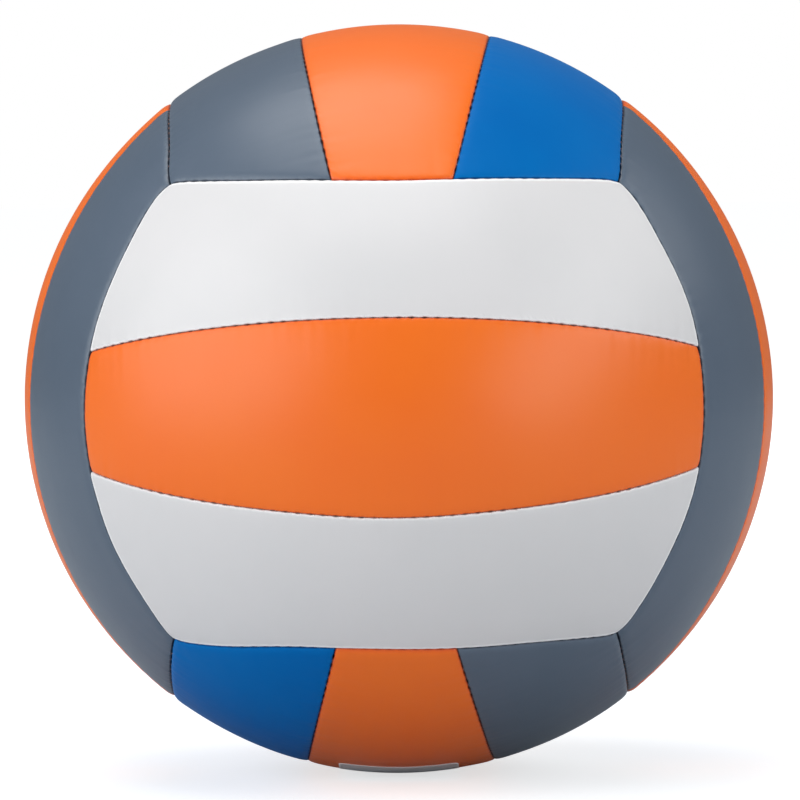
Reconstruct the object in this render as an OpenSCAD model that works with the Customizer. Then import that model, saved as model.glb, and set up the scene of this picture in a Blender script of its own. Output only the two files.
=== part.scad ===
// Stitched volleyball of eighteen panels over foam, with an air bladder and a valve.
// Each of the six faces is three strips, and the strips of neighbouring faces run crosswise.
// The origin is the centre of the ball, +Z is up and the front face looks along -Y.
// Lengths are in millimetres and angles in degrees.

/* [Ball] */
// Circumference of the inflated ball
circumference = 670; // [600:5:720]
// Half of the angle that the middle strip of a face covers, across the strip
middle_half_angle = 14.5; // [12:0.1:18]
// Tilt of the seams between two faces, which bows them outwards on their long side
seam_tilt = 6.5; // [2:0.1:12]

/* [Cover] */
// Thickness of the synthetic leather
skin = 1.2; // [0.8:0.1:1.6]
// Thickness of the foam behind the leather
foam = 2.2; // [1.6:0.1:4]
// Gap between the turned-in edges of two panels
seam_gap = 0.4; // [0.2:0.1:0.8]
// Radius of the foam edge that the leather is rolled round
fold = 1; // [0.6:0.1:1.5]
// Radius of the sewing thread
thread_r = 0.3; // [0.2:0.05:0.45]
// Glue line between two layers
glue = 0.15; // [0.05:0.05:0.25]

/* [Bladder] */
// Wall thickness of the bladder
bladder_wall = 0.8; // [0.4:0.1:1.2]

/* [Valve] */
// Radius of the hole in the panel
valve_hole_r = 4.6; // [3.8:0.1:6]
// Depth of the valve head below the surface of the ball
valve_recess = 0.5; // [0.2:0.1:1]
// Radius of the flange that is cured to the inside of the bladder
valve_flange_r = 13; // [10:0.5:18]
// Thickness of that flange
valve_flange_t = 1.4; // [0.8:0.1:2]
// Length of the valve tube inside the bladder
valve_tube_len = 8; // [6:0.5:12]
// Radius of that tube
valve_tube_r = 4.2; // [3.8:0.1:5]
// Radius of the rubber insert
insert_r = 2.6; // [2:0.1:3]
// Radius of the cap of the insert
insert_cap_r = 3.4; // [3.2:0.1:3.8]
// Thickness of that cap
insert_cap_t = 1; // [0.6:0.1:1.6]
// Height of each of the two barbs that hold the insert
barb_h = 1.6; // [1:0.1:2.2]
// How far a barb stands out
barb_out = 0.5; // [0.2:0.1:0.7]
// Radius of the passage for the inflating needle
needle_r = 1.1; // [1:0.05:1.3]
// Radius of the mouth of that passage
needle_mouth_r = 1.7; // [1.4:0.1:2.2]
// Depth of the mouth
needle_mouth_h = 0.8; // [0.4:0.1:1.2]
// Thickness of the closed tip that the needle parts
needle_tip_t = 1.5; // [1:0.1:2.5]
// Thickness of the ledge under the insert
valve_ledge_t = 1.5; // [1:0.1:2]
// Radius of the cloth patch round the hole in the panel
patch_r = 12; // [8:0.5:16]
// Thickness of the patch
patch_t = 0.7; // [0.4:0.1:1]

/* [Hidden] */
$fn = 96;
white = [0.87, 0.88, 0.89];
orange = [0.93, 0.42, 0.11];
grey = [0.37, 0.43, 0.49];
blue = [0.04, 0.38, 0.68];
foam_tone = [0.90, 0.88, 0.80];
thread_tone = [0.80, 0.80, 0.78];
bladder_tone = [0.12, 0.12, 0.13];
valve_tone = [0.16, 0.16, 0.17];
insert_tone = [0.25, 0.25, 0.26];
patch_tone = [0.75, 0.73, 0.68];

// Angle at which a rolled edge leaves the surface, just short of tangent
crease = 14;
// Running clearance between rubber pieces
fit = 0.1;
// Overrun of cuts
overrun = 2;
// Arc that a cutter runs on past each end of its seam
lap = 4;
// Angle of the cut that a side strip gets outside its seam
wide_angle = 55;

ball_r = circumference / (2 * PI);
edge_r = fold + skin;
foam_top_r = ball_r - skin - glue;
cover_inner_r = foam_top_r - foam;
bladder_r = cover_inner_r - glue;
bladder_inner_r = bladder_r - bladder_wall;
flange_top_r = bladder_inner_r - glue;
flange_inner_r = flange_top_r - valve_flange_t;
valve_top = ball_r - valve_recess;
valve_bottom = flange_inner_r - valve_tube_len;
valve_head_r = valve_hole_r - fit;
insert_bottom = valve_bottom + valve_ledge_t;
insert_stem_top = valve_top - insert_cap_t;
barb_gap = (insert_stem_top - insert_bottom - 2 * barb_h) / 3;
patch_inner_r = foam_top_r - patch_t;

// Angle from the axis of a face's end seam to that seam; it runs through the cube's corners
face_angle = acos((cos(seam_tilt) - sin(seam_tilt)) / sqrt(3));
// Half of the arc of a middle seam, from its centre to the seam at its end
middle_seam_arc = acos(cos(face_angle) / norm([cos(seam_tilt) * cos(middle_half_angle), sin(seam_tilt)]))
  - atan2(sin(seam_tilt), cos(seam_tilt) * cos(middle_half_angle));
// Half of the arc of a side seam, from its centre to the cube's corner
side_seam_arc = asin(1 / (sqrt(3) * sin(face_angle)));

// Centre of a rolled edge of radius roll on a ball of radius r: distance to the side of the
// seam's line, and height along it
function roll_side(inset, roll) = inset + roll * cos(crease);
function roll_height(r, inset, roll) =
  sqrt(pow(r, 2) + pow(roll, 2) - 2 * r * roll * cos(crease) - pow(roll_side(inset, roll), 2));

// Radius at which the thread lies against both rolled edges of a seam
thread_ball_r = roll_height(ball_r, seam_gap / 2, edge_r)
  + sqrt(pow(edge_r + thread_r + fit, 2) - pow(roll_side(seam_gap / 2, edge_r), 2));
// Angle that the thread stops short of the seam it meets
thread_stop = (2 * thread_r + fit) / thread_ball_r * 180 / PI;

// Faces: name, turn from the pattern face at +Z, names of the strips at rows -1, 0 and 1, colours
faces = [
  ["front", [90, 0, 0], ["lower", "middle", "upper"], [white, orange, white]],
  ["back", [90, 0, 180], ["lower", "middle", "upper"], [white, orange, white]],
  ["top", [0, 0, -90], ["left", "middle", "right"], [grey, orange, blue]],
  ["bottom", [180, 0, 90], ["left", "middle", "right"], [blue, orange, grey]],
  ["left", [0, -90, 0], ["front", "middle", "back"], [grey, orange, blue]],
  ["right", [0, 90, 0], ["front", "middle", "back"], [grey, orange, blue]]
];
rows = [-1, 0, 1];
function strip_name(face, row) = str(face[0], "_", face[2][row + 1]);
function panel_name(face, row) = str(strip_name(face, row), "_panel");
function foam_name(face, row) = str(strip_name(face, row), "_foam");
function thread_name(face) = str(face[0], "_thread");
// The strip that the valve comes through
function has_valve(face, row) = face[0] == "back" && row == 0;

// Turns a vertical seam axis to the seam at one end of the pattern face at +Z, whose strips run
// along X. The middle of the seam's arc starts at +X.
module at_end(end) {
  rotate([0, 0, end > 0 ? 0 : 180]) rotate([0, -seam_tilt, 0]) children();
}

// The same for a seam along the strips, with its axis tilted below the horizon
module at_side(side, tilt) {
  rotate([0, 0, side > 0 ? 0 : 180]) rotate([-90 - tilt, 0, 0]) rotate([0, 0, -90]) children();
}

// Sweeps a section both ways from +X, by half_arc
module sweep(half_arc) {
  rotate([0, 0, -half_arc]) rotate_extrude(angle = 2 * half_arc) children();
}

// Hollow ball with its poles and its start line clear of the strip
module hollow_ball(row, r, inner_r) {
  rotate(row == 0 ? [0, 90, 0] : [90, 0, 0]) difference() {
    sphere(r);
    sphere(inner_r);
  }
}

// All above the horizon, out past a ball of radius r
module upper_half(r) {
  reach = r + overrun;
  translate([-reach, -reach, 0]) cube([2 * reach, 2 * reach, reach]);
}

// Cone with its tip shift above the centre, whose wall runs through a face's seam. Its start
// line is clear of the strip.
module seam_cone(r, shift) {
  reach = r + overrun;
  translate([0, 0, shift]) rotate([0, 0, 90]) cylinder(h = reach, r1 = 0, r2 = reach * tan(face_angle));
}

// Part of a hollow ball between two seams along the strips. A side strip is cut wide at its
// outer side.
module wedge(row, r, inner_r, inset) {
  difference() {
    difference() {
      hollow_ball(row, r, inner_r);
      if (row == 0) at_side(1, middle_half_angle) translate([0, 0, -inset]) upper_half(r);
      else at_side(row, middle_half_angle) mirror([0, 0, 1]) translate([0, 0, -inset]) upper_half(r);
    }
    if (row == 0) at_side(-1, middle_half_angle) translate([0, 0, -inset]) upper_half(r);
    else at_side(row, wide_angle) upper_half(r);
  }
}

// Strip with sharp edges, each inset from its seam
module sharp_strip(row, r, inner_r, inset) {
  shift = inset / sin(face_angle);
  difference() {
    intersection() {
      wedge(row, r, inner_r, inset);
      at_end(1) seam_cone(r, shift);
      at_end(-1) seam_cone(r, shift);
    }
    if (row != 0) at_side(row, seam_tilt) seam_cone(r, -shift);
  }
}

// Cutter that rolls over the edge at a seam, at the angle polar from its axis. It is drawn for
// a piece outside the seam's circle.
module edge_cutter(polar, half_arc, r, inset, roll, inside) {
  side = roll_side(inset, roll);
  height = roll_height(r, inset, roll);
  sweep(half_arc + lap) rotate(90 - polar) mirror([0, inside ? 1 : 0]) difference() {
    translate([height, -side]) square([r + overrun - height, side + overrun]);
    translate([height, -side]) circle(roll);
  }
}

// Strip of the pattern face, from radius inner_r to r, with rolled edges. Row 0 is the middle
// strip, and rows -1 and 1 are the side strips at -Y and +Y.
module strip(row, r, inner_r, inset, roll) {
  difference() {
    difference() {
      sharp_strip(row, r, inner_r, inset);
      at_end(1) edge_cutter(face_angle, side_seam_arc, r, inset, roll, true);
      at_end(-1) edge_cutter(face_angle, side_seam_arc, r, inset, roll, true);
    }
    at_side(row == 0 ? 1 : row, middle_half_angle)
      edge_cutter(90, middle_seam_arc, r, inset, roll, row != 0);
    if (row == 0) at_side(-1, middle_half_angle) edge_cutter(90, middle_seam_arc, r, inset, roll, false);
    else at_side(row, seam_tilt) edge_cutter(face_angle, side_seam_arc, r, inset, roll, false);
  }
}

// Cylinder along the valve's axis, in the frame of the pattern face
module valve_cut(r) {
  translate([0, 0, cover_inner_r - overrun]) cylinder(r = r, h = skin + foam + 3 * overrun);
}

// Leather panel with its edges rolled over and turned in
module panel(face, row) {
  color(face[3][row + 1]) rotate(face[1]) difference() {
    strip(row, ball_r, cover_inner_r, seam_gap / 2, edge_r);
    strip(row, ball_r - skin, cover_inner_r - overrun, seam_gap / 2 + skin, fold);
    if (has_valve(face, row)) valve_cut(valve_hole_r);
  }
}

// Foam that fills a panel between its turned-in edges
module foam_backing(face, row) {
  color(foam_tone) rotate(face[1]) difference() {
    strip(row, foam_top_r, cover_inner_r, seam_gap / 2 + skin + glue, fold - glue);
    if (has_valve(face, row)) {
      valve_cut(valve_hole_r);
      difference() {
        valve_cut(patch_r + glue);
        sphere(patch_inner_r - glue);
      }
    }
  }
}

// One row of sewing thread along a seam
module thread_run(polar, half_arc) {
  sweep(half_arc - thread_stop / sin(polar))
    translate([thread_ball_r * sin(polar), thread_ball_r * cos(polar)]) circle(thread_r, $fn = 24);
}

// Thread of the two middle seams and the two side seams of a face
module seam_thread(face) {
  color(thread_tone) rotate(face[1]) for (side = [-1, 1]) {
    at_side(side, middle_half_angle) thread_run(90, middle_seam_arc);
    at_side(side, seam_tilt) thread_run(face_angle, side_seam_arc);
  }
}

// Turns the vertical axis of a valve piece to the centre of the back face
module at_valve() {
  rotate([-90, 0, 0]) children();
}

// Air bladder, open only at the valve
module bladder() {
  color(bladder_tone) difference() {
    sphere(bladder_r);
    sphere(bladder_inner_r);
    at_valve() translate([0, 0, bladder_inner_r - overrun])
      cylinder(r = valve_hole_r, h = bladder_wall + 2 * overrun);
  }
}

// Half section of the insert, grown all over by play: cap, stem and two barbs. It runs up to
// the height top.
module insert_section(play, top) {
  translate([0, insert_stem_top - play]) square([insert_cap_r + play, top - insert_stem_top + play]);
  translate([0, insert_bottom - play]) square([insert_r + play, top - insert_bottom + play]);
  for (n = [0, 1])
    translate([0, insert_bottom + barb_gap + n * (barb_gap + barb_h)]) polygon([
      [0, -play],
      [insert_r + play, -play],
      [insert_r + barb_out + play, barb_h],
      [insert_r + barb_out + play, barb_h + play],
      [0, barb_h + play]
    ]);
}

// Rubber valve housing: head in the panel, flange under the bladder wall and tube inside
module valve_housing() {
  color(valve_tone) at_valve() rotate_extrude() difference() {
    union() {
      translate([0, flange_inner_r - valve_flange_t])
        square([valve_head_r, valve_top - flange_inner_r + valve_flange_t]);
      translate([0, valve_bottom]) square([valve_tube_r, flange_inner_r - valve_bottom]);
      intersection() {
        translate([0, flange_inner_r - valve_flange_t]) square([valve_flange_r, 3 * valve_flange_t]);
        difference() {
          circle(flange_top_r);
          circle(flange_inner_r);
        }
      }
    }
    insert_section(fit, valve_top + overrun);
    square([insert_r - barb_out, insert_bottom]);
  }
}

// Rubber insert that seals round the needle
module valve_insert() {
  color(insert_tone) at_valve() rotate_extrude() difference() {
    insert_section(0, valve_top);
    translate([0, insert_bottom + needle_tip_t]) square([needle_r, valve_top - insert_bottom]);
    polygon([
      [0, valve_top - needle_mouth_h],
      [needle_r, valve_top - needle_mouth_h],
      [needle_mouth_r, valve_top],
      [needle_mouth_r, valve_top + overrun],
      [0, valve_top + overrun]
    ]);
  }
}

// Cloth patch between the leather and the foam, round the hole
module valve_patch() {
  color(patch_tone) at_valve() difference() {
    intersection() {
      sphere(foam_top_r);
      valve_cut(patch_r);
    }
    sphere(patch_inner_r);
    valve_cut(valve_hole_r);
  }
}

for (face = faces, row = rows) {
  panel(face, row);
  foam_backing(face, row);
}
for (face = faces) seam_thread(face);
bladder();
valve_housing();
valve_insert();
valve_patch();
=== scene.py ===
import math

import bpy
import numpy as np
from mathutils import Matrix, Vector


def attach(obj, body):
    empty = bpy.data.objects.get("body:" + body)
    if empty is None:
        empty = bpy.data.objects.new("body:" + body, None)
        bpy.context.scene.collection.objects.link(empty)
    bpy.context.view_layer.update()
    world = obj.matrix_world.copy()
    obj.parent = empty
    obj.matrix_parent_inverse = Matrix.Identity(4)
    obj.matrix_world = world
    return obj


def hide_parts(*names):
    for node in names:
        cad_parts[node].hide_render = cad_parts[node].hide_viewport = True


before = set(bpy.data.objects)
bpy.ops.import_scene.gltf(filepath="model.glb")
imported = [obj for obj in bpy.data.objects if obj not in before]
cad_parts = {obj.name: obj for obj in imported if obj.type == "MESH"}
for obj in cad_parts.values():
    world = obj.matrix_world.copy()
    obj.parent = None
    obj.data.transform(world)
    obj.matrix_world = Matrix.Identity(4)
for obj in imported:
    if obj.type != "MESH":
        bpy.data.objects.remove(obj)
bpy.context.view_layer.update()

mm = 0.001

# A volleyball of eighteen stitched panels. Each face has three strips, which are worked out at
# +Z with the strips along X and then turned to the face's place.
ball = {
    "circumference": 0.670,
    "middleHalfAngle": math.radians(14.5),  # half of what the middle strip covers, across it
    "seamTilt": math.radians(6.5),  # bows the seams between two faces
    "stitchPitch": 3.5 * mm,
}
ballRadius = ball["circumference"] / (2 * math.pi)
tilt, half = ball["seamTilt"], ball["middleHalfAngle"]
seamHeight = (math.cos(tilt) - math.sin(tilt)) / math.sqrt(3)
faceAngle = math.acos(seamHeight)

# turns about X, Y and Z that bring a face from +Z to its place, its strips and their leather
faces = {
    "front": ((90, 0, 0), ("lower", "middle", "upper"), ("white", "orange", "white")),
    "back": ((90, 0, 180), ("lower", "middle", "upper"), ("white", "orange", "white")),
    "top": ((0, 0, -90), ("left", "middle", "right"), ("grey", "orange", "blue")),
    "bottom": ((180, 0, 90), ("left", "middle", "right"), ("blue", "orange", "grey")),
    "left": ((0, -90, 0), ("front", "middle", "back"), ("grey", "orange", "blue")),
    "right": ((0, 90, 0), ("front", "middle", "back"), ("grey", "orange", "blue")),
}


def unit(v):
    v = np.asarray(v, float)
    return v / np.linalg.norm(v, axis=-1, keepdims=True)


def smooth(x):
    x = np.clip(x, 0, 1)
    return x * x * (3 - 2 * x)


def faceTurn(angles):
    x, y, z = (Matrix.Rotation(math.radians(a), 3, n) for a, n in zip(angles, "XYZ"))
    return np.array(z @ y @ x)


# Seams. Each is a circle round an axis; inside is 1 for a strip on the axis's side of it.


def endAngle(a):
    level = math.cos(tilt) * np.cos(a)
    lean = np.arctan2(math.sin(tilt), level)
    return np.arccos(seamHeight / np.hypot(level, math.sin(tilt))) - lean


def sideAngle(b):
    return tilt + np.arcsin(np.clip(seamHeight / np.cos(b), -1, 1))


def makeSeam(kind, axis, polar, inside, middle, turn):
    axis, middle = unit(axis), unit(middle)
    out = unit(middle - axis * (axis @ middle))
    place = turn @ middle
    return {
        "kind": kind, "axis": axis, "polar": polar, "inside": inside,
        "out": out, "run": np.cross(axis, out),
        "seed": float(place @ np.array([3.1, 7.7, 5.3])) * 3,  # another for each seam
    }


def endSeam(end, turn):
    b = float(endAngle(0.0))
    return makeSeam("face", (-end * math.sin(tilt), 0, math.cos(tilt)), faceAngle, 1,
                    (end * math.sin(b), 0, math.cos(b)), turn)


def middleSeam(side, inside, turn):
    return makeSeam("strip", (0, side * math.cos(half), -math.sin(half)), math.pi / 2, inside,
                    (0, side * math.sin(half), math.cos(half)), turn)


def sideSeam(side, turn):
    a = float(sideAngle(0.0))
    return makeSeam("face", (0, side * math.cos(tilt), -math.sin(tilt)), faceAngle, -1,
                    (0, side * math.sin(a), math.cos(a)), turn)


def stripSeams(row, turn):
    ends = [endSeam(-1, turn), endSeam(1, turn)]
    if row == 0:
        return ends + [middleSeam(-1, -1, turn), middleSeam(1, -1, turn)]
    if row > 0:
        return ends + [middleSeam(1, 1, turn), sideSeam(1, turn)]
    return ends + [sideSeam(-1, turn), middleSeam(-1, 1, turn)]


def seamPlace(seam, p):
    height = np.clip(p @ seam["axis"], -1, 1)
    distance = ballRadius * seam["inside"] * (seam["polar"] - np.arccos(height))
    along = ballRadius * math.sin(seam["polar"]) * np.arctan2(p @ seam["run"], p @ seam["out"])
    inward = unit(seam["axis"] - height[..., None] * p) * seam["inside"]
    return distance, along, inward


# How the leather lies at a seam and over the foam
cover = {
    "skin": 1.28 * mm,
    "rollRadius": 0.36 * mm,  # tight turn at the stitches
    "gapAtStitch": 0.02 * mm,
    "gapReach": 1.6 * mm,  # how far from a seam the leather still gives way to the gap
    "ribs": 0.045 * mm,  # puckers that run away from a seam
    "ribStart": 0.5 * mm,
    "ribReach": 6 * mm,
    "cornerRibs": 1.3,  # how much more it puckers near a corner
    "cornerReach": 14 * mm,
    "pinch": 0.12 * mm,  # dimple at each stitch
    "pinchReach": 0.7 * mm,
    "waves": 0.10 * mm,  # slow unevenness over the foam
    "waveShare": 0.35,
    "waveStart": 8 * mm,
    "cornerBlend": 0.16 * mm,
    "whiteSlack": 0.4,  # white leather drops less at a seam
    "flangeDepth": 3.45 * mm,  # the turned-in edge reaches this far down
    "flangeWidth": 1.1 * mm,
    "flangeRoot": 1.65 * mm,
    "liningInset": 2.4 * mm,
}
# the seams between two faces sit deeper than the seams between the strips of one face
seamKinds = {
    "face": {"shoulder": 0.52 * mm, "shoulderReach": 3.8 * mm,
             "gapBetween": 0.17 * mm, "bunching": 0.7},
    "strip": {"shoulder": 0.28 * mm, "shoulderReach": 4.2 * mm,
              "gapBetween": 0.16 * mm, "bunching": 2.2},
}
gapSwells = ((7 * mm, 0.3, 1.0), (3.1 * mm, 0.2, 2.7))  # length, share, how far the seed turns it
ribRuns = ((3.5 * mm, 0.35), (5.3 * mm, 0.4), (8.9 * mm, 0.45), (15.1 * mm, 0.4))  # length, share

waveCount, slowestWave, fastestWave = 14, 60, 190  # the last two in radians per metre
random = np.random.default_rng(18)
waveRuns = unit(random.normal(size=(waveCount, 3)))
waveRuns = waveRuns * random.uniform(slowestWave, fastestWave, (waveCount, 1))
wavePhases = random.uniform(0, 2 * math.pi, waveCount)
waveSizes = slowestWave / np.linalg.norm(waveRuns, axis=1)


def seamGap(along, seed, kind):
    opening = 0.5 - 0.5 * np.cos(2 * math.pi * along / ball["stitchPitch"])
    slow = 1
    for length, size, turned in gapSwells:
        slow = slow + size * np.sin(along / length + turned * seed)
    spec = seamKinds[kind]
    return cover["gapAtStitch"] + spec["gapBetween"] * opening ** spec["bunching"] * slow


def ribHeight(along, seed):
    total = 0
    for n, (length, size) in enumerate(ribRuns):
        total = total + size * np.sin(2 * math.pi * along / length + seed * (n + 2.3) + n)
    return total


def seamEdge(p, seams):
    total = 0
    for seam in seams:
        total = total + np.exp(-seamPlace(seam, p)[0] / cover["cornerBlend"])
    return np.maximum(-cover["cornerBlend"] * np.log(total), 0)


def rolledEdge(away, roll):
    # drop of a quarter round that starts at an edge
    return np.sqrt(np.maximum(roll ** 2 - (roll - np.minimum(away, roll)) ** 2, 0)) - roll


def surfaceHeight(p, seams, turn, slack=1.0):
    edge = seamEdge(p, seams)
    height = rolledEdge(edge, cover["rollRadius"])
    world = p @ turn.T
    waves = np.sin(world @ (waveRuns * ballRadius).T + wavePhases) @ waveSizes
    height += cover["waves"] * waves * cover["waveShare"] * smooth(edge / cover["waveStart"])
    places = [seamPlace(seam, p)[:2] for seam in seams]
    for n, (seam, (distance, along)) in enumerate(zip(seams, places)):
        d = np.maximum(distance, 0)
        kind = seamKinds[seam["kind"]]
        height -= slack * kind["shoulder"] * np.clip(1 - d / kind["shoulderReach"], 0, 1) ** 3
        # the two seams that this one meets at its ends
        other = np.min([away for m, (away, _) in enumerate(places) if m // 2 != n // 2], axis=0)
        busy = 1 + cover["cornerRibs"] * np.exp(-np.maximum(other, 0) / cover["cornerReach"])
        side = seam["seed"] + 1.9 * seam["inside"]
        fade = np.exp(-d / cover["ribReach"]) * (1 - np.exp(-d / cover["ribStart"]))
        height += cover["ribs"] * busy * ribHeight(along, side) * fade
        atStitch = (0.5 + 0.5 * np.cos(2 * math.pi * along / ball["stitchPitch"])) ** 3
        height -= cover["pinch"] * atStitch * np.exp(-d / cover["pinchReach"])
    return height


# Where the sewn seams wander from the even pattern. The places and shifts are as seen from the
# front, and the back half has the same ones turned round. The corners of the white panels are
# stretched along their strips and across them, then rounded.
drift = {
    "corners": {(-1, 1): (2.0 * mm, 1.5 * mm), (1, 1): (2.0 * mm, 1.0 * mm),
                (-1, -1): (3.2 * mm, 2.4 * mm), (1, -1): (0.5 * mm, 1.5 * mm)},
    "cornerReach": 20 * mm,
    "rounding": 0.9 * mm,
    "roundingReach": 7 * mm,
    "places": {  # azimuth and elevation, shift to the right and up, reach
        "upperSide": (0.0, float(sideAngle(0.0)), 0.0, -1.25 * mm, 24 * mm),
        "leftSide": (-float(endAngle(0.0)), 0.0, -1.0 * mm, 0.0, 24 * mm),
        "lowerStrip": (0.0, -half, 0.0, -0.75 * mm, 24 * mm),
        "lowerSide": (0.2, -float(sideAngle(0.0)), 0.0, -0.5 * mm, 18 * mm),
        "lowerSideLeft": (-0.55, -0.69, 0.0, -1.2 * mm, 13 * mm),
        "leftLow": (-0.82, -0.32, -0.5 * mm, 0.0, 13 * mm),
        "leftHigh": (-0.95, 0.45, 1.1 * mm, 0.0, 13 * mm),
        "leftKnee": (-0.91, -0.55, 3.2 * mm, 0.0, 14 * mm),
        "rightLow": (0.92, -0.45, -1.3 * mm, 0.0, 17 * mm),
        "rightRise": (0.95, 0.46, -1.2 * mm, 0.0, 13 * mm),
        "rightHigh": (0.8, 0.27, 0.9 * mm, 0.0, 14 * mm),
        "leftRise": (-0.75, 0.85, 2.0 * mm, 0.0, 15 * mm),
        "leftFall": (-0.75, -0.85, -1.6 * mm, 0.0, 15 * mm),
        "rightFall": (0.75, -0.85, 1.6 * mm, 0.0, 15 * mm),
        "leftFace": (half - math.pi / 2, 0.0, -1.5 * mm, 0.0, 30 * mm),
        "leftFaceLow": (half - math.pi / 2, -0.6, -3.8 * mm, 0.0, 42 * mm),
        "rightFaceLow": (math.pi / 2 - half, -0.8, 3.0 * mm, 0.0, 24 * mm),
        "rightFaceHigh": (math.pi / 2 - half, 0.8, 2.5 * mm, 0.0, 22 * mm),
    },
}


def tug(p, azimuth, elevation, right, up, reach):
    level = math.cos(elevation)
    place = np.array([math.sin(azimuth) * level, -math.cos(azimuth) * level, math.sin(elevation)])
    sideways = unit(np.cross((0, 0, 1), place))
    share = np.exp(-(np.linalg.norm(p - place, axis=-1) * ballRadius / reach) ** 2)
    return share[..., None] * (right * sideways + up * np.cross(place, sideways))


def driftSeams(p):
    shift = np.zeros_like(p)
    for turned in (np.array([1, 1, 1]), np.array([-1, -1, 1])):  # the front, then the back
        own = p * turned
        moved = np.zeros_like(p)
        for (x, z), (along, across) in drift["corners"].items():
            corner = np.array([x, -1, z]) / math.sqrt(3)
            azimuth, elevation = x * math.pi / 4, math.asin(corner[2])
            moved += tug(own, azimuth, elevation, x * along, z * across, drift["cornerReach"])
            inward = unit(np.array([0, -1, 0]) + corner * corner[1])
            near = 1 - np.linalg.norm(own - corner, axis=-1) * ballRadius / drift["roundingReach"]
            moved += (np.clip(near, 0, 1) ** 2 * drift["rounding"])[..., None] * inward
        for place in drift["places"].values():
            moved += tug(own, *place)
        shift += moved * turned
    return unit(p + shift / ballRadius)


panel = {
    "edgeSteps": np.array([0, 0.02, 0.08, 0.18, 0.32, 0.5, 0.72,
                           1.0, 1.4, 1.9, 2.5, 3.3, 4.3, 5.5]) * mm,
    "rowsBetween": 36,
    "columnsBetween": 400,
    "liningRows": 10,
    "gridRounds": 60,  # rounds until rows and columns agree
    "onSeam": 0.02 * mm,  # a point this near a seam lies on it
}


def openGap(p, seams):
    moved = p.copy()
    for seam in seams:
        distance, along, inward = seamPlace(seam, p)
        gap = seamGap(along, seam["seed"], seam["kind"])
        share = np.clip(1 - distance / cover["gapReach"], 0, 1) * gap / ballRadius
        moved += inward * share[..., None]
    return unit(moved)


def insetEdge(p, seams, amount):
    # shifts points that lie on a seam inwards, at a corner away from both seams
    total, met, product = np.zeros_like(p), np.zeros(len(p)), np.ones(len(p))
    for seam in seams:
        distance, _, inward = seamPlace(seam, p)
        near = distance < panel["onSeam"]
        product = np.where(near & (met > 0), (total * inward).sum(1), product)
        total += inward * near[:, None]
        met += near
    total /= np.where(met > 1, 1 + product, 1)[:, None]
    return unit(p + total * amount / ballRadius)


# Panels


def gridShares(between):
    steps = panel["edgeSteps"]
    t = np.arange(1, between + 1) / (between + 1)
    fixed = np.concatenate([steps, steps[-1] * (1 - 2 * t), -steps[::-1]])
    shares = np.concatenate([steps * 0, t, steps * 0 + 1])
    return fixed, shares


def stripGrid(row):
    rowFixed, rowShare = (x[:, None] for x in gridShares(panel["rowsBetween"]))
    columnFixed, columnShare = (x[None, :] for x in gridShares(panel["columnsBetween"]))
    a = np.full((rowFixed.size, columnFixed.size), row * 2.0 * half)
    for _ in range(panel["gridRounds"]):
        reach = endAngle(a)
        b = -reach + (columnFixed + columnShare * 2 * reach * ballRadius) / ballRadius
        low = {-1: -sideAngle(b), 0: -half, 1: half}[row]
        high = {-1: -half, 0: half, 1: sideAngle(b)}[row]
        scale = ballRadius * np.cos(b)
        a = low + (rowFixed + rowShare * (high - low) * scale) / scale
    return np.stack([np.sin(b), np.cos(b) * np.sin(a), np.cos(b) * np.cos(a)], -1)


def gridQuads(index):
    quads = [index[:-1, :-1], index[:-1, 1:], index[1:, 1:], index[1:, :-1]]
    return np.stack(quads, -1).reshape(-1, 4)


def gridLoop(index):
    return np.concatenate([index[0, :-1], index[:-1, -1], index[-1, :0:-1], index[:0:-1, 0]])


def bandQuads(first, second):
    return np.stack([first, np.roll(first, -1), np.roll(second, -1), second], -1)


def zipLines(first, second, firstAt, secondAt):
    # triangles between two lines of vertices, each step taken on the line that lags behind
    made, i, j = [], 0, 0
    lastFirst, lastSecond = len(first) - 1, len(second) - 1
    while i < lastFirst or j < lastSecond:
        if j == lastSecond or (i < lastFirst and firstAt[i + 1] <= secondAt[j + 1]):
            made.append((first[i], first[i + 1], second[j]))
            i += 1
        else:
            made.append((first[i], second[j + 1], second[j]))
            j += 1
    return [t for t in made if len(set(t)) == 3]


valve = {
    "holeRadius": 4.6 * mm,
    "holeRoll": 0.45 * mm,
    "rings": 12,
    "ringSpread": 1.6,  # above 1, the rings crowd towards the hole
    "blockRows": 8,  # rows and columns of the grid that the rings replace, on each side
    "blockColumns": 20,
    "liningBlockRows": 2,
}


def ringPoints(directions, radius):
    return directions * np.asarray(radius)[..., None]


def addObject(name, data):
    made = bpy.data.objects.new(name, data)
    bpy.context.scene.collection.objects.link(made)
    return made


def meshFrom(name, points, polygons, vectors=None):
    mesh = bpy.data.meshes.new(name)
    mesh.from_pydata(points.tolist(), [], polygons)
    for key, values in (vectors or {}).items():
        layer = mesh.attributes.new(key, "FLOAT_VECTOR", "POINT")
        layer.data.foreach_set("vector", np.ascontiguousarray(values, np.float32).ravel())
    mesh.validate()
    mesh.shade_smooth()
    return addObject(name, mesh)


def seamVectors(source, seams):
    # for the leather: mm along the nearest seam at the ends and at the sides, mm away from it and
    # which of the two it is; and mm to the nearest face seam and to the nearest strip seam
    near = [seamPlace(seam, source)[:2] for seam in seams]

    def nearest(kind):
        return np.min([d for seam, (d, _) in zip(seams, near) if seam["kind"] == kind], axis=0) / mm

    vectors = {"faceSeam": np.stack([nearest("face"), nearest("strip"), np.zeros(len(source))], -1)}
    for key, (one, two) in (("seamEnds", near[:2]), ("seamSides", near[2:])):
        first = one[0] < two[0]
        vectors[key] = np.stack([
            np.where(first, one[1], two[1] + 0.5) / mm,
            np.minimum(one[0], two[0]) / mm,
            np.where(first, 0.0, 1.0),
        ], -1)
    return vectors


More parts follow.
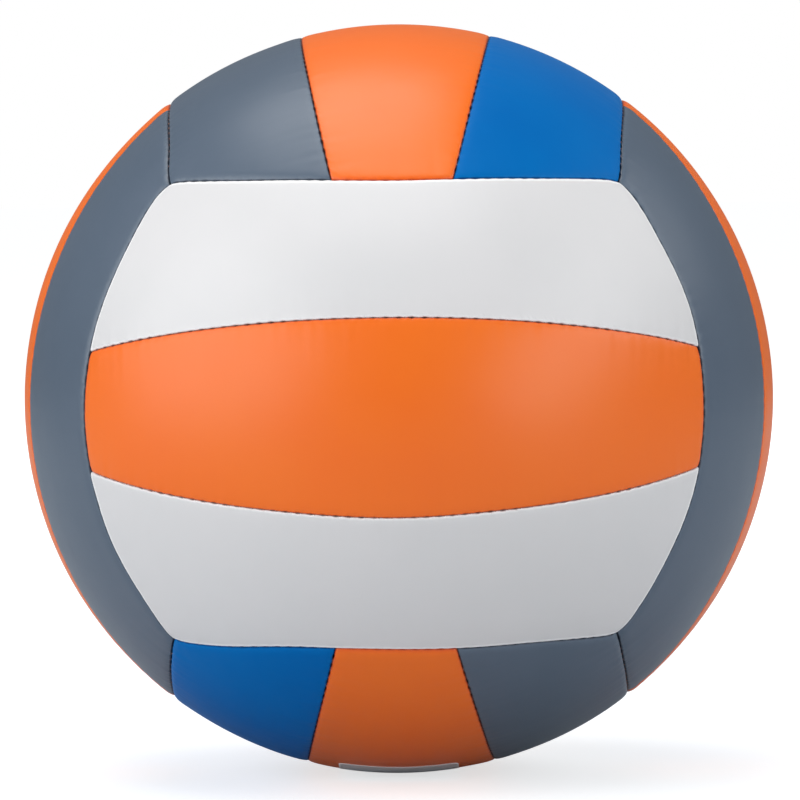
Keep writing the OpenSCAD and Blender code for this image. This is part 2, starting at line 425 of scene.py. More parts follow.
def makePanel(name, row, turn, slack, hasValve):
    seams = stripSeams(row, turn)
    flat = stripGrid(row)
    rows, columns = flat.shape[:2]
    p = flat.reshape(-1, 3)
    index = np.arange(len(p)).reshape(rows, columns)
    groups = [ringPoints(openGap(p, seams), ballRadius + surfaceHeight(p, seams, turn, slack))]
    sources = [p]
    count = len(p)

    def addRing(directions, radius, source):
        nonlocal count
        groups.append(ringPoints(directions, np.broadcast_to(radius, len(directions))))
        sources.append(source)
        count += len(directions)
        return np.arange(count - len(directions), count)

    keep = np.ones((rows - 1, columns - 1), bool)
    if hasValve:
        r, c, side = rows // 2, columns // 2, valve["blockColumns"]
        top = valve["blockRows"]
        keep[r - top:r + top, c - side:c + side] = False
    polygons = gridQuads(index)[keep.ravel()].tolist()
    if hasValve:
        # rings from the square block in the grid's middle to the round hole
        last = gridLoop(index[r - top:r + top + 1, c - side:c + side + 1])
        outer = p[last]
        angle = np.arctan2(outer[:, 1], outer[:, 0])
        wide = np.hypot(outer[:, 0], outer[:, 1])
        hole = valve["holeRadius"] / ballRadius
        for n in range(1, valve["rings"] + 1):
            t = 1 - (1 - n / valve["rings"]) ** valve["ringSpread"]
            reach = wide * (1 - t) + hole * t
            drop = rolledEdge((reach - hole) * ballRadius, valve["holeRoll"])
            source = np.stack([reach * np.cos(angle), reach * np.sin(angle),
                               np.sqrt(1 - reach ** 2)], -1)
            ring = addRing(source, ballRadius + surfaceHeight(source, seams, turn) + drop, source)
            polygons += bandQuads(last, ring).tolist()
            last = ring
        holeRing = addRing(source, ballRadius - cover["skin"], source)
        polygons += bandQuads(last, holeRing).tolist()

    # turned-in edge, with the thickness of the leather
    loop = gridLoop(index)
    edge = p[loop]
    edgeOpen = openGap(edge, seams)
    last = loop
    inner = insetEdge(edge, seams, cover["flangeWidth"]) - edge
    further = insetEdge(edge, seams, cover["liningInset"]) - edge
    for shift, depth in ((0, cover["flangeDepth"]), (inner, cover["flangeDepth"]),
                         (inner, cover["flangeRoot"]), (further, cover["skin"])):
        ring = addRing(unit(edgeOpen + shift), ballRadius - depth, edge)
        polygons += bandQuads(ring, last).tolist()
        last = ring

    # underside of the leather, in wide rows
    corners = np.cumsum([0, columns - 1, rows - 1, columns - 1])
    lowLine = last[corners[0]:corners[1] + 1]
    rightLine = last[corners[1]:corners[2] + 1]
    highLine = last[corners[2]:corners[3] + 1][::-1]
    leftLine = np.append(last[corners[3]:], last[0])[::-1]
    everything = np.concatenate(groups)
    lining = [lowLine]
    for n in range(1, panel["liningRows"]):
        t = n / panel["liningRows"]
        middle = unit(everything[lowLine] * (1 - t) + everything[highLine] * t)
        lining.append(addRing(middle, ballRadius - cover["skin"], middle))
    lining = np.array(lining + [highLine])
    everything = np.concatenate(groups)
    keep = np.ones((len(lining) - 1, columns - 1), bool)
    if hasValve:
        r, top = panel["liningRows"] // 2, valve["liningBlockRows"]
        keep[r - top:r + top, c - side:c + side] = False
        around = gridLoop(lining[r - top:r + top + 1, c - side:c + side + 1])
        lines = []
        for ids in (around, holeRing):
            angle = np.mod(np.arctan2(everything[ids, 1], everything[ids, 0]), 2 * math.pi)
            order = np.argsort(angle)
            ids, angle = ids[order], angle[order]
            lines += [np.append(ids, ids[0]), np.append(angle, angle[0] + 2 * math.pi)]
        polygons += [t[::-1] for t in zipLines(lines[0], lines[2], lines[1], lines[3])]
    polygons += gridQuads(lining)[keep.ravel()][:, ::-1].tolist()
    shares = np.linspace(0, 1, len(lining))
    polygons += zipLines(leftLine, lining[:, 0], np.linspace(0, 1, len(leftLine)), shares)
    right = zipLines(rightLine, lining[:, -1], np.linspace(0, 1, len(rightLine)), shares)
    polygons += [t[::-1] for t in right]

    points = driftSeams(unit(everything @ turn.T))
    points *= np.linalg.norm(everything, axis=1)[:, None]
    vectors = seamVectors(np.concatenate(sources), seams)
    return meshFrom(name, points, [list(map(int, f)) for f in polygons], vectors)


# Shader groups


def newGroup(name, inputs, outputs):
    tree = bpy.data.node_groups.new(name, "ShaderNodeTree")
    for label, kind, default in inputs:
        socket = tree.interface.new_socket(label, in_out="INPUT", socket_type=kind)
        socket.default_value = default
    for label, kind in outputs:
        tree.interface.new_socket(label, in_out="OUTPUT", socket_type=kind)
    return tree, tree.nodes.new("NodeGroupInput"), tree.nodes.new("NodeGroupOutput")


def wire(tree, source, target):
    tree.links.new(source, target)


def addNode(tree, kind, values=None, **settings):
    node = tree.nodes.new(kind)
    for key, value in settings.items():
        setattr(node, key, value)
    for key, value in (values or {}).items():
        if isinstance(value, bpy.types.NodeSocket):
            tree.links.new(value, node.inputs[key])
        else:
            node.inputs[key].default_value = value
    return node


def maths(tree, operation, *values, clamp=False):
    node = tree.nodes.new("ShaderNodeMath")
    node.operation, node.use_clamp = operation, clamp
    for n, value in enumerate(values):
        if isinstance(value, bpy.types.NodeSocket):
            tree.links.new(value, node.inputs[n])
        else:
            node.inputs[n].default_value = value
    return node.outputs[0]


def noise(tree, vector, scale, detail=2.0, roughness=0.5):
    node = addNode(tree, "ShaderNodeTexNoise",
                   {"Vector": vector, "Scale": scale, "Detail": detail, "Roughness": roughness})
    return node.outputs["Fac"]


def mixColours(tree, amount, first, second):
    node = tree.nodes.new("ShaderNodeMix")
    node.data_type = "RGBA"
    # a mix node has the sockets of its colour kind at these places
    for place, value in ((0, amount), (6, first), (7, second)):
        if isinstance(value, bpy.types.NodeSocket):
            tree.links.new(value, node.inputs[place])
        else:
            node.inputs[place].default_value = value
    return node.outputs[2]


def fallOff(tree, start, away, reach):
    # start at the seam, down by 1 for every reach, and kept from 0 to 1
    return maths(tree, "SUBTRACT", start, maths(tree, "DIVIDE", away, reach), clamp=True)


def objectPlace(tree):
    return tree.nodes.new("ShaderNodeTexCoord").outputs["Object"]


def leatherGrainGroup():
    # fine pebbled grain of pressed synthetic leather, and the slow drift of its finish
    tree, given, out = newGroup(
        "leatherGrain",
        [("Grain", "NodeSocketFloat", 1300.0), ("Drift", "NodeSocketFloat", 28.0)],
        [("Height", "NodeSocketFloat"), ("Mottle", "NodeSocketFloat"),
         ("Finish", "NodeSocketFloat")],
    )
    place = objectPlace(tree)
    warp = addNode(tree, "ShaderNodeTexNoise", {"Vector": place, "Scale": 500.0, "Detail": 1.0})
    push = addNode(tree, "ShaderNodeVectorMath",
                   {0: warp.outputs["Color"], "Scale": 0.8 * mm}, operation="SCALE")
    bent = addNode(tree, "ShaderNodeVectorMath", {0: place, 1: push.outputs[0]}, operation="ADD")
    cells = addNode(tree, "ShaderNodeTexVoronoi",
                    {"Vector": bent.outputs[0], "Scale": given.outputs["Grain"]},
                    feature="SMOOTH_F1")
    fine = noise(tree, place, 5200.0)
    height = maths(tree, "ADD", maths(tree, "MULTIPLY", cells.outputs["Distance"], -1.0),
                   maths(tree, "MULTIPLY", fine, 0.5))
    wire(tree, height, out.inputs["Height"])
    wire(tree, noise(tree, place, given.outputs["Drift"], 3.0, 0.55), out.inputs["Mottle"])
    wire(tree, noise(tree, place, 95.0, 4.0, 0.6), out.inputs["Finish"])
    return tree


# Bands beside a seam for its painted highlight and painted shade: strength on the seam, and the mm
# over which it falls by 1
seamBands = {"groove": (1.2, 0.42), "faceRim": (2.0, 0.65), "stripRim": (1.4, 0.6)}
stripRimShare = 0.5


def seamCreasesAndShadingGroup():
    # the stitching's small creases as a bump, and the bands for painted light at a seam: a painted
    # highlight along the edge (painted shade on orange) and painted shade in the groove
    tree, given, out = newGroup(
        "seamCreasesAndShading",
        [("Reach", "NodeSocketFloat", 2.4)],
        [("Edge", "NodeSocketFloat"), ("Rim", "NodeSocketFloat"),
         ("Groove", "NodeSocketFloat"), ("Creases", "NodeSocketFloat")],
    )
    reach = given.outputs["Reach"]
    creases, edges = [], []
    for key in ("seamEnds", "seamSides"):
        place = addNode(tree, "ShaderNodeAttribute", attribute_name=key)
        parts = addNode(tree, "ShaderNodeSeparateXYZ", {0: place.outputs["Vector"]})
        along, away = parts.outputs["X"], maths(tree, "MAXIMUM", parts.outputs["Y"], 0.0)
        fade = fallOff(tree, 1.0, away, reach)
        strip = addNode(tree, "ShaderNodeCombineXYZ", {
            "X": maths(tree, "MULTIPLY_ADD", away, 0.35, maths(tree, "MULTIPLY", along, 0.62)),
            "Y": maths(tree, "MULTIPLY", away, 0.25),
            "Z": maths(tree, "MULTIPLY", parts.outputs["Z"], 7.0),
        })
        lines = noise(tree, strip.outputs[0], 1.0, 2.0, 0.6)
        creases.append(maths(tree, "MULTIPLY", maths(tree, "SUBTRACT", lines, 0.5),
                             maths(tree, "POWER", fade, 1.4)))
        edges.append(away)
    nearest = maths(tree, "MINIMUM", *edges)
    kinds = addNode(tree, "ShaderNodeAttribute", attribute_name="faceSeam")
    kinds = addNode(tree, "ShaderNodeSeparateXYZ", {0: kinds.outputs["Vector"]})

    def band(name, away):
        start, width = seamBands[name]
        return fallOff(tree, start, away, width)

    stripRim = maths(tree, "MULTIPLY", band("stripRim", kinds.outputs["Y"]), stripRimShare)
    rim = maths(tree, "MAXIMUM", band("faceRim", kinds.outputs["X"]), stripRim)
    wire(tree, fallOff(tree, 1.0, nearest, reach), out.inputs["Edge"])
    wire(tree, rim, out.inputs["Rim"])
    wire(tree, band("groove", nearest), out.inputs["Groove"])
    wire(tree, maths(tree, "ADD", *creases), out.inputs["Creases"])
    return tree


leatherGrain = leatherGrainGroup()
seamCreasesAndShading = seamCreasesAndShadingGroup()


def startMaterial(name):
    material = bpy.data.materials.new(name)
    material.use_nodes = True
    tree = material.node_tree
    return material, tree, tree.nodes["Principled BSDF"]


def finishSurface(tree, shader, colour, rough, relief):
    # relief: bump height, its strength and its depth
    height, strength, depth = relief
    wire(tree, colour, shader.inputs["Base Color"])
    wire(tree, rough, shader.inputs["Roughness"])
    bump = addNode(tree, "ShaderNodeBump",
                   {"Strength": strength, "Distance": depth, "Height": height})
    wire(tree, bump.outputs[0], shader.inputs["Normal"])


def linear(*rgb):
    shares = [c / 255 for c in rgb]
    made = [v / 12.92 if v <= 0.04 else ((v + 0.055) / 1.055) ** 2.4 for v in shares]
    return (*made, 1.0)


# Colours of each leather: over the panel in two tones, at its edge a painted highlight (on orange a
# painted shade) and down in the seam's groove a painted shade. rim and groove say how far the last
# two show, sheen is the specular level and coat the clear coat.
leather = {
    "white": {"colour": linear(228, 227, 228), "deep": linear(224, 224, 225),
              "edge": linear(254, 254, 255), "fold": linear(190, 190, 194),
              "rim": 1.0, "groove": 0.0, "sheen": 0.5, "coat": 0.15},
    "orange": {"colour": linear(255, 118, 15), "deep": linear(254, 113, 11),
               "edge": linear(248, 96, 10), "fold": linear(176, 52, 12),
               "rim": 0.6, "groove": 0.7, "sheen": 0.5, "coat": 0.15},
    "grey": {"colour": linear(87, 102, 120), "deep": linear(82, 98, 116),
             "edge": linear(112, 128, 144), "fold": linear(38, 48, 64),
             "rim": 0.12, "groove": 0.9, "sheen": 0.5, "coat": 0.15},
    "blue": {"colour": linear(0, 110, 187), "deep": linear(0, 104, 182),
             "edge": linear(8, 119, 195), "fold": linear(2, 38, 86),
             "rim": 0.25, "groove": 0.65, "sheen": 0.06, "coat": 0.0},
}
leatherFinish = {
    "roughness": 0.35,
    "roughnessSpread": 0.10,
    "edgePolish": -0.05,
    "grainHeight": 0.004 * mm,
    "creaseHeight": 0.4 * mm,
}


def leatherMaterial(tone):
    spec = leather[tone]
    material, tree, shader = startMaterial(tone + "Leather")
    grain = addNode(tree, "ShaderNodeGroup", node_tree=leatherGrain)
    seam = addNode(tree, "ShaderNodeGroup", node_tree=seamCreasesAndShading)
    mottle = maths(tree, "MULTIPLY_ADD", grain.outputs["Mottle"], 2.2, -0.6, clamp=True)
    colour = mixColours(tree, mottle, spec["deep"], spec["colour"])
    # painted light along a seam: the rim band, and faintly the wider edge band, turn the leather
    # towards its edge colour, a painted highlight on white, grey and blue and a painted shade on
    # orange
    paintedRimLight = maths(tree, "MULTIPLY_ADD", seam.outputs["Rim"], spec["rim"],
                 maths(tree, "MULTIPLY", seam.outputs["Edge"], 0.1))
    colour = mixColours(tree, paintedRimLight, colour, spec["edge"])
    # painted shade in the seam's groove: the groove band turns the leather towards its dark groove
    # colour
    folded = maths(tree, "MULTIPLY", seam.outputs["Groove"], spec["groove"])
    colour = mixColours(tree, folded, colour, spec["fold"])
    wire(tree, colour, shader.inputs["Base Color"])
    rough = maths(tree, "MULTIPLY_ADD", grain.outputs["Finish"],
                  leatherFinish["roughnessSpread"], leatherFinish["roughness"])
    rough = maths(tree, "MULTIPLY_ADD", seam.outputs["Edge"], leatherFinish["edgePolish"], rough)
    wire(tree, rough, shader.inputs["Roughness"])
    fine = addNode(tree, "ShaderNodeBump", {
        "Strength": 1.0, "Distance": leatherFinish["grainHeight"],
        "Height": grain.outputs["Height"]})
    creased = addNode(tree, "ShaderNodeBump", {
        "Strength": 1.0, "Distance": leatherFinish["creaseHeight"],
        "Height": seam.outputs["Creases"], "Normal": fine.outputs[0]})
    wire(tree, creased.outputs[0], shader.inputs["Normal"])
    shader.inputs["IOR"].default_value = 1.5
    shader.inputs["Specular IOR Level"].default_value = spec["sheen"]
    shader.inputs["Coat Weight"].default_value = spec["coat"]
    shader.inputs["Coat Roughness"].default_value = 0.3
    return material


leatherMaterials = {tone: leatherMaterial(tone) for tone in leather}

for face, (angles, strips, tones) in faces.items():
    turn = faceTurn(angles)
    for row, strip, tone in zip((-1, 0, 1), strips, tones):
        name = f"{face}_{strip}_panel"
        slack = cover["whiteSlack"] if tone == "white" else 1.0
        piece = makePanel(name + "Cover", row, turn, slack, face == "back" and row == 0)
        piece.data.materials.append(leatherMaterials[tone])
        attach(piece, "root")
        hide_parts(name)
print("panels made")


# Sewing thread: one stitch across the seam at each pitch, over a run of thread deeper in the seam

thread = {
    "radius": 0.17 * mm,
    "runRadius": 0.22 * mm,
    "depth": 0.22 * mm,
    "runDepth": 1.2 * mm,
    "width": 0.66 * mm,
    "slant": 0.5,
    "slantSpread": 0.14,
    "endGap": 4.5 * mm,
    "pathSteps": 6,  # points of a seam's path in one pitch
    "dark": (0.27, 0.13, 0.10, 1),
    "light": (0.40, 0.22, 0.17, 1),
}


def threadTree():
    tree = bpy.data.node_groups.new("seamStitches", "GeometryNodeTree")
    face = tree.interface
    face.new_socket("Geometry", in_out="INPUT", socket_type="NodeSocketGeometry")
    sizes = (("Pitch", ball["stitchPitch"]), ("Thread Radius", thread["radius"]),
             ("Run Radius", thread["runRadius"]), ("Depth", thread["depth"]),
             ("Run Depth", thread["runDepth"]), ("Width", thread["width"]), ("Slant", thread["slant"]))
    for label, value in sizes:
        socket = face.new_socket(label, in_out="INPUT", socket_type="NodeSocketFloat")
        socket.default_value = value
    face.new_socket("Seed", in_out="INPUT", socket_type="NodeSocketInt").default_value = 1
    face.new_socket("Material", in_out="INPUT", socket_type="NodeSocketMaterial")
    face.new_socket("Geometry", in_out="OUTPUT", socket_type="NodeSocketGeometry")
    given, out = tree.nodes.new("NodeGroupInput"), tree.nodes.new("NodeGroupOutput")

    def add(kind, values=None, **settings):
        return addNode(tree, kind, values, **settings)

    def multiply(a, b):
        return maths(tree, "MULTIPLY", a, b)

    def tube(curve, radius):
        section = add("GeometryNodeCurvePrimitiveCircle", {"Resolution": 6, "Radius": radius})
        return add("GeometryNodeCurveToMesh", {
            "Curve": curve.outputs[0], "Profile Curve": section.outputs[0], "Fill Caps": True})

    position = add("GeometryNodeInputPosition")
    outward = add("ShaderNodeVectorMath", {0: position.outputs[0]}, operation="NORMALIZE")
    curve = add("GeometryNodeMeshToCurve", {"Mesh": given.outputs["Geometry"]})
    # a hair under the pitch, so that the last stitch of a seam isn't lost
    step = multiply(given.outputs["Pitch"], 0.999)
    even = add("GeometryNodeResampleCurve", {"Curve": curve.outputs[0], "Length": step},
               mode="LENGTH")
    tangent = add("GeometryNodeInputTangent")
    upward = add("FunctionNodeAlignRotationToVector", {"Vector": outward.outputs[0]}, axis="Z")
    facing = add("FunctionNodeAlignRotationToVector",
                 {"Rotation": upward.outputs[0], "Vector": tangent.outputs[0]},
                 axis="X", pivot_axis="Z")
    spread = thread["slantSpread"]
    turnBy = add("FunctionNodeRandomValue",
                 {"Min": -spread, "Max": spread, "Seed": given.outputs["Seed"]}, data_type="FLOAT")
    slant = maths(tree, "ADD", turnBy.outputs[1], given.outputs["Slant"])
    swing = add("ShaderNodeCombineXYZ", {"Z": slant})
    swung = add("FunctionNodeEulerToRotation", {0: swing.outputs[0]})
    rotation = add("FunctionNodeRotateRotation",
                   {"Rotation": facing.outputs[0], "Rotate By": swung.outputs[0]},
                   rotation_space="LOCAL")

    # a stitch lies along Y over the seam, low at both ends where it enters the leather
    width, depth = given.outputs["Width"], given.outputs["Depth"]
    halfWidth = multiply(width, 0.5)
    low = multiply(maths(tree, "ADD", depth, width), -1.0)
    start = add("ShaderNodeCombineXYZ", {"Y": multiply(halfWidth, -1.0), "Z": low})
    middle = add("ShaderNodeCombineXYZ", {"Z": maths(tree, "SUBTRACT", width, depth)})
    end = add("ShaderNodeCombineXYZ", {"Y": halfWidth, "Z": low})
    arch = add("GeometryNodeCurveQuadraticBezier", {
        "Resolution": 6, "Start": start.outputs[0], "Middle": middle.outputs[0],
        "End": end.outputs[0]})
    stitch = tube(arch, given.outputs["Thread Radius"])
    placed = add("GeometryNodeInstanceOnPoints", {
        "Points": even.outputs[0], "Instance": stitch.outputs[0],
        "Rotation": rotation.outputs[0]})

    # the run of thread below
    runDepth = multiply(given.outputs["Run Depth"], -1.0)
    lower = add("ShaderNodeVectorMath", {0: outward.outputs[0], "Scale": runDepth},
                operation="SCALE")
    sunk = add("GeometryNodeSetPosition",
               {"Geometry": curve.outputs[0], "Offset": lower.outputs[0]})
    step = multiply(given.outputs["Pitch"], 0.6)
    sparse = add("GeometryNodeResampleCurve", {"Curve": sunk.outputs[0], "Length": step},
                 mode="LENGTH")
    run = tube(sparse, given.outputs["Run Radius"])

    joined = tree.nodes.new("GeometryNodeJoinGeometry")
    wire(tree, placed.outputs[0], joined.inputs[0])
    wire(tree, run.outputs[0], joined.inputs[0])
    real = add("GeometryNodeRealizeInstances", {0: joined.outputs[0]})
    rounded = add("GeometryNodeSetShadeSmooth", {0: real.outputs[0]})
    dressed = add("GeometryNodeSetMaterial",
                  {0: rounded.outputs[0], "Material": given.outputs["Material"]})
    wire(tree, dressed.outputs[0], out.inputs[0])
    return tree


def threadMaterial():
    material, tree, shader = startMaterial("sewingThread")
    place = objectPlace(tree)
    strands = addNode(tree, "ShaderNodeTexWave",
                      {"Vector": place, "Scale": 900.0, "Distortion": 3.0, "Detail": 1.0},
                      bands_direction="DIAGONAL")
    shade = noise(tree, place, 420.0)
    colour = mixColours(tree, shade, thread["dark"], thread["light"])
    rough = maths(tree, "MULTIPLY_ADD", shade, 0.15, 0.5)
    finishSurface(tree, shader, colour, rough, (strands.outputs["Fac"], 0.7, 0.05 * mm))
    return material


threadLook = threadMaterial()
stitchTree = threadTree()


def seamPath(seam, halfArc, turn):
    # points along a seam, whole pitches long and centred on the seam's middle
    reach = math.sin(seam["polar"]) * ballRadius
    steps = thread["pathSteps"]
    last = int((halfArc * reach - thread["endGap"]) / ball["stitchPitch"]) * steps
    along = np.arange(-last, last + 1) * ball["stitchPitch"] / steps / reach
    ring = np.cos(along)[:, None] * seam["out"] + np.sin(along)[:, None] * seam["run"]
    p = math.cos(seam["polar"]) * seam["axis"] + math.sin(seam["polar"]) * ring
    return driftSeams(p @ turn.T) * (ballRadius - seamKinds[seam["kind"]]["shoulder"])


def makeThread(name, turn, seed):
    middleArc = float(endAngle(half))
    sideArc = math.asin(1 / (math.sqrt(3) * math.sin(faceAngle)))
    points, edges = [], []
    for side in (-1, 1):
        for seam, arc in ((middleSeam(side, 1, turn), middleArc), (sideSeam(side, turn), sideArc)):
            path = seamPath(seam, arc, turn)
            first = len(points)
            points += path.tolist()
            edges += [(first + n, first + n + 1) for n in range(len(path) - 1)]
    mesh = bpy.data.meshes.new(name + "Paths")
    mesh.from_pydata(points, edges, [])
    paths = addObject(name + "Paths", mesh)
    modifier = paths.modifiers.new("stitches", "NODES")
    modifier.node_group = stitchTree
    sockets = {socket.name: socket.identifier for socket in stitchTree.interface.items_tree
               if socket.in_out == "INPUT"}
    modifier[sockets["Seed"]] = seed
    modifier[sockets["Material"]] = threadLook
    graph = bpy.context.evaluated_depsgraph_get()
    made = bpy.data.meshes.new_from_object(
        paths.evaluated_get(graph), preserve_all_data_layers=True, depsgraph=graph)
    paths.modifiers.remove(modifier)
    bpy.data.objects.remove(paths)
    made.name = name
    return addObject(name, made)


for seed, (face, (angles, _, _)) in enumerate(faces.items()):
    piece = makeThread(face + "_threadStitches", faceTurn(angles), seed)
    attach(piece, "root")
    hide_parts(face + "_thread")
print("stitches made")


# Bare paper label on the underside

label = {
    "width": 34 * mm,
    "front": -29.5 * mm,  # arc from the lowest point, towards the front
    "back": 13 * mm,
    "offset": -0.6 * mm,
    "corner": 2.5 * mm,
    "thickness": 0.12 * mm,
    "sunk": 0.1 * mm,
    "columns": 44,
    "rows": 60,
}


def makeLabel():
    angles, _, _ = faces["bottom"]
    turn = faceTurn(angles)
    seams = stripSeams(0, turn)
    u, v = np.meshgrid(np.linspace(-1, 1, label["columns"]), np.linspace(-1, 1, label["rows"]))
    wide, long = label["width"] / 2, (label["back"] - label["front"]) / 2
    x, y = u * wide, v * long
    # round the corners by drawing the outline in
    cx = np.maximum(np.abs(x) - wide + label["corner"], 0)
    cy = np.maximum(np.abs(y) - long + label["corner"], 0)
    far = np.maximum(cx, cy) / np.maximum(np.hypot(cx, cy), 1e-9)
    far = np.where((cx > 0) & (cy > 0), far, 1.0)
    x = np.sign(x) * (np.abs(x) - cx + cx * far) + label["offset"]
    y = np.sign(y) * (np.abs(y) - cy + cy * far) + (label["back"] + label["front"]) / 2
    direction = unit(np.stack([np.sin(x / ballRadius), np.sin(y / ballRadius),
                               -np.cos(x / ballRadius) * np.cos(y / ballRadius)], -1)).reshape(-1, 3)
    own = direction @ turn
    under = ballRadius + surfaceHeight(own, seams, turn)
    index = np.arange(x.size).reshape(x.shape)
    points = np.concatenate([direction * (under + label["thickness"])[:, None],
                             direction * (under - label["sunk"])[:, None]])
    lower = index + x.size
    polygons = gridQuads(index)[:, ::-1].tolist() + gridQuads(lower).tolist()
    polygons += bandQuads(gridLoop(index), gridLoop(lower)).tolist()
    return meshFrom("bareLabel", points, polygons)


def labelMaterial():
    material, tree, shader = startMaterial("labelPaper")
    place = objectPlace(tree)
    fibre = noise(tree, place, 900.0, 4.0, 0.7)
    cloud = noise(tree, place, 60.0)
    colour = mixColours(tree, cloud, linear(236, 238, 240), linear(246, 247, 249))
    rough = maths(tree, "MULTIPLY_ADD", fibre, 0.1, 0.5)
    finishSurface(tree, shader, colour, rough, (fibre, 0.5, 0.02 * mm))
    return material


piece = makeLabel()
piece.data.materials.append(labelMaterial())
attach(piece, "root")
print("label made")


# Pieces inside the cover keep their CAD shapes and get their own finishes


def foamMaterial():
    material, tree, shader = startMaterial("openCellFoam")
    place = objectPlace(tree)
    cells = addNode(tree, "ShaderNodeTexVoronoi", {"Vector": place, "Scale": 1100.0})
    depth = cells.outputs["Distance"]
    cloud = noise(tree, place, 80.0, 3.0)
    colour = mixColours(tree, cloud, linear(224, 218, 196), linear(238, 234, 216))
    rough = maths(tree, "MULTIPLY_ADD", depth, 0.1, 0.82)
    finishSurface(tree, shader, colour, rough, (depth, 1.0, 0.12 * mm))
    return material


dustColour = (0.45, 0.45, 0.43, 1)


def rubberMaterial(name, dark, light, roughness, dust):
    material, tree, shader = startMaterial(name)
    place = objectPlace(tree)
    cloud = noise(tree, place, 120.0, 4.0, 0.6)
    speck = noise(tree, place, 1500.0, 3.0, 0.7)
    colour = mixColours(tree, cloud, dark, light)
    specks = maths(tree, "MULTIPLY_ADD", speck, 2.0, -0.9, clamp=True)
    colour = mixColours(tree, maths(tree, "MULTIPLY", specks, dust), colour, dustColour)
    rough = maths(tree, "MULTIPLY_ADD", cloud, 0.15, roughness)
    finishSurface(tree, shader, colour, rough, (speck, 0.6, 0.02 * mm))
    return material


def clothMaterial():
    material, tree, shader = startMaterial("patchCloth")
    place = objectPlace(tree)
    warp, weft = (
        addNode(tree, "ShaderNodeTexWave", {"Vector": place, "Scale": 520.0, "Distortion": 0.6},
                bands_direction=direction).outputs["Fac"]
        for direction in "XZ")
    weave = maths(tree, "MAXIMUM", warp, weft)
    colour = mixColours(tree, weave, linear(160, 156, 146), linear(206, 202, 192))
    rough = maths(tree, "MULTIPLY_ADD", weave, -0.1, 0.9)
    finishSurface(tree, shader, colour, rough, (weave, 0.8, 0.08 * mm))
    return material


foamLook = foamMaterial()
looks = {
    "bladder": rubberMaterial(
        "bladderRubber", (0.012, 0.012, 0.013, 1), (0.022, 0.022, 0.023, 1), 0.5, 0.12),
    "valve_housing": rubberMaterial(
        "valveRubber", (0.016, 0.016, 0.017, 1), (0.03, 0.03, 0.031, 1), 0.42, 0.06),
    "valve_insert": rubberMaterial(
        "insertRubber", (0.03, 0.03, 0.032, 1), (0.05, 0.05, 0.052, 1), 0.36, 0.04),
    "valve_patch": clothMaterial(),
}
for name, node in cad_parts.items():
    look = foamLook if name.endswith("_foam") else looks.get(name)
    if look:
        node.data.materials.clear()
        node.data.materials.append(look)
print("inner pieces finished")


# Camera, where the photograph was taken from

view = {
    "distance": 1.637,
    "rise": math.radians(2.71),
    "swing": math.radians(-0.86),
    "roll": math.radians(-0.47),
    "focalPixels": 5732.0,
    "framePixels": 800.0,
    "sensorWidth": 36,
    "ballAt": (398.85, 398.3),
}


def makeCamera():
    turn = (Matrix.Rotation(view["swing"], 3, "Z") @ Matrix.Rotation(view["rise"], 3, "X")
            @ Matrix.Rotation(view["roll"], 3, "Y")).transposed()
    wide = view["framePixels"]
    data = bpy.data.cameras.new("camera")
    data.sensor_width = view["sensorWidth"]
    data.lens = view["focalPixels"] / wide * view["sensorWidth"]
    data.shift_x = (wide / 2 - view["ballAt"][0]) / wide
    data.shift_y = (view["ballAt"][1] - wide / 2) / wide
    data.clip_end = 50
    camera = addObject("camera", data)
    facing = turn @ Matrix(((1, 0, 0), (0, 0, -1), (0, 1, 0)))
    away = Matrix.Translation(turn @ Vector((0, -view["distance"], 0)))
    camera.matrix_world = away @ facing.to_4x4()
    bpy.context.scene.camera = camera


makeCamera()


# Studio: two soft boxes on each side, two above and one behind, in a pale room on a pale floor

lamps = {
    "leftBox": {"azimuth": -57, "height": 15, "away": 2.2, "size": (2.1, 2.4), "power": 38.0},
    "leftSide": {"azimuth": -97, "height": 30, "away": 2.2, "size": (1.1, 1.6), "power": 1.5},
    "rightBox": {"azimuth": 53, "height": 15, "away": 2.2, "size": (0.95, 2.3), "power": 17.5},
    "rightSide": {"azimuth": 97, "height": 34, "away": 2.2, "size": (1.1, 1.6), "power": 7.5},
    "topBox": {"azimuth": -130, "height": 76, "away": 2.0, "size": (1.3, 1.2), "power": 13.5},
    "topWide": {"azimuth": 0, "height": 66, "away": 2.0, "size": (1.6, 1.0), "power": 9.0},
    "backBox": {"azimuth": 180, "height": 24, "away": 2.2, "size": (1.6, 1.5), "power": 13.0,
                "sheen": False},
}
room = {
    "light": 0.17,
    "floorReach": 12,
    "floorGap": 0.05 * mm,
    "floorColour": (0.51, 0.54, 0.57, 1),
    "floorMottle": (0.53, 0.56, 0.59, 1),
    "nearGlow": 0.66,  # how brightly the camera sees the floor near the ball, and far from it
    "farGlow": 0.9,
    "glowFrom": 0.25,
    "glowWidth": 1.6,
}


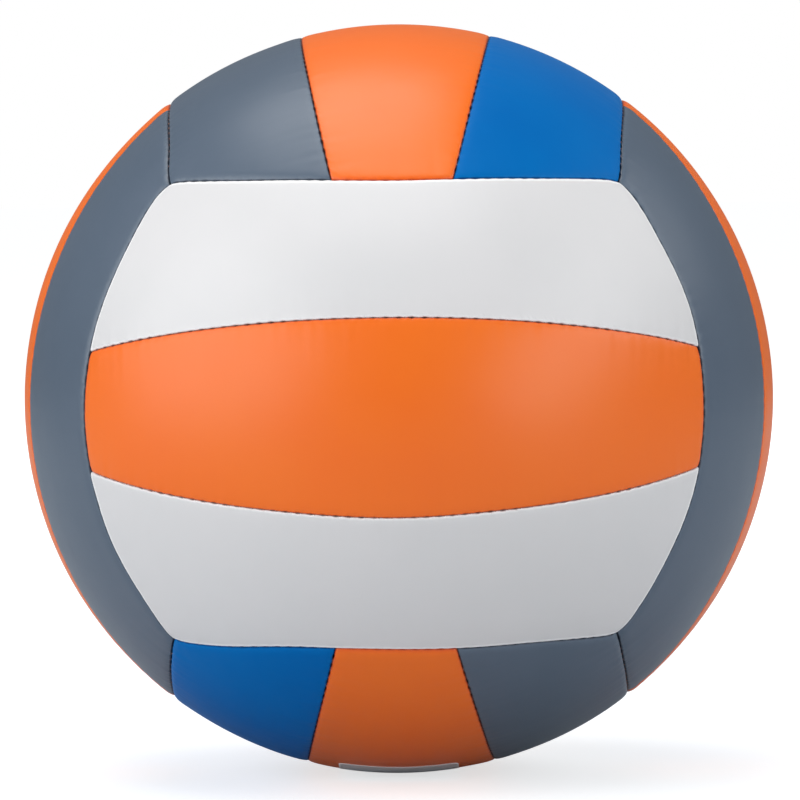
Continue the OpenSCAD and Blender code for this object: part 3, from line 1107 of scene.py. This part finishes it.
def makeLamp(name, azimuth, height, away, size, power, sheen=True):
    # azimuth from the front, towards +X
    a, e = math.radians(azimuth), math.radians(height)
    at = Vector((math.sin(a) * math.cos(e), -math.cos(a) * math.cos(e), math.sin(e))) * away
    data = bpy.data.lights.new(name, "AREA")
    data.shape, data.size, data.size_y, data.energy = "RECTANGLE", size[0], size[1], power
    lamp = addObject(name, data)
    lamp.location = at
    lamp.visible_glossy = sheen
    lamp.rotation_euler = (-at).to_track_quat("-Z", "Z").to_euler()


for name, lamp in lamps.items():
    makeLamp(name, **lamp)


def makeRoom():
    # white where the camera sees it, dim as a light
    world = bpy.data.worlds.new("room")
    world.use_nodes = True
    bpy.context.scene.world = world
    tree = world.node_tree
    ground = tree.nodes["Background"]
    seen = tree.nodes.new("ShaderNodeLightPath")
    straight = maths(tree, "MAXIMUM", seen.outputs["Is Camera Ray"],
                     seen.outputs["Is Transmission Ray"])
    strength = maths(tree, "MULTIPLY_ADD", straight, 1 - room["light"], room["light"])
    ground.inputs["Color"].default_value = (1, 1, 1, 1)
    wire(tree, strength, ground.inputs["Strength"])


def makeFloor():
    mesh = bpy.data.meshes.new("floor")
    reach, low = room["floorReach"], -ballRadius - room["floorGap"]
    corners = [(x * reach, y * reach, low) for x, y in ((-1, -1), (1, -1), (1, 1), (-1, 1))]
    mesh.from_pydata(corners, [], [(0, 1, 2, 3)])
    floor = addObject("floor", mesh)
    material, tree, shader = startMaterial("paleFloor")
    seen = tree.nodes.new("ShaderNodeLightPath")
    place = objectPlace(tree)
    colour = mixColours(tree, noise(tree, place, 3.0), room["floorColour"], room["floorMottle"])
    wire(tree, colour, shader.inputs["Base Color"])
    shader.inputs["Roughness"].default_value = 0.9
    shader.inputs["Specular IOR Level"].default_value = 0.1
    shader.inputs["Emission Color"].default_value = (1, 1, 1, 1)
    away = addNode(tree, "ShaderNodeVectorMath", {0: place}, operation="LENGTH").outputs["Value"]
    away = maths(tree, "SUBTRACT", away, room["glowFrom"])
    far = maths(tree, "DIVIDE", away, room["glowWidth"], clamp=True)
    glow = maths(tree, "MULTIPLY_ADD", far, room["farGlow"] - room["nearGlow"], room["nearGlow"])
    glow = maths(tree, "MULTIPLY", seen.outputs["Is Camera Ray"], glow)
    wire(tree, glow, shader.inputs["Emission Strength"])
    mesh.materials.append(material)


makeRoom()
makeFloor()
bpy.context.scene.view_settings.view_transform = "Standard"
print("studio made")
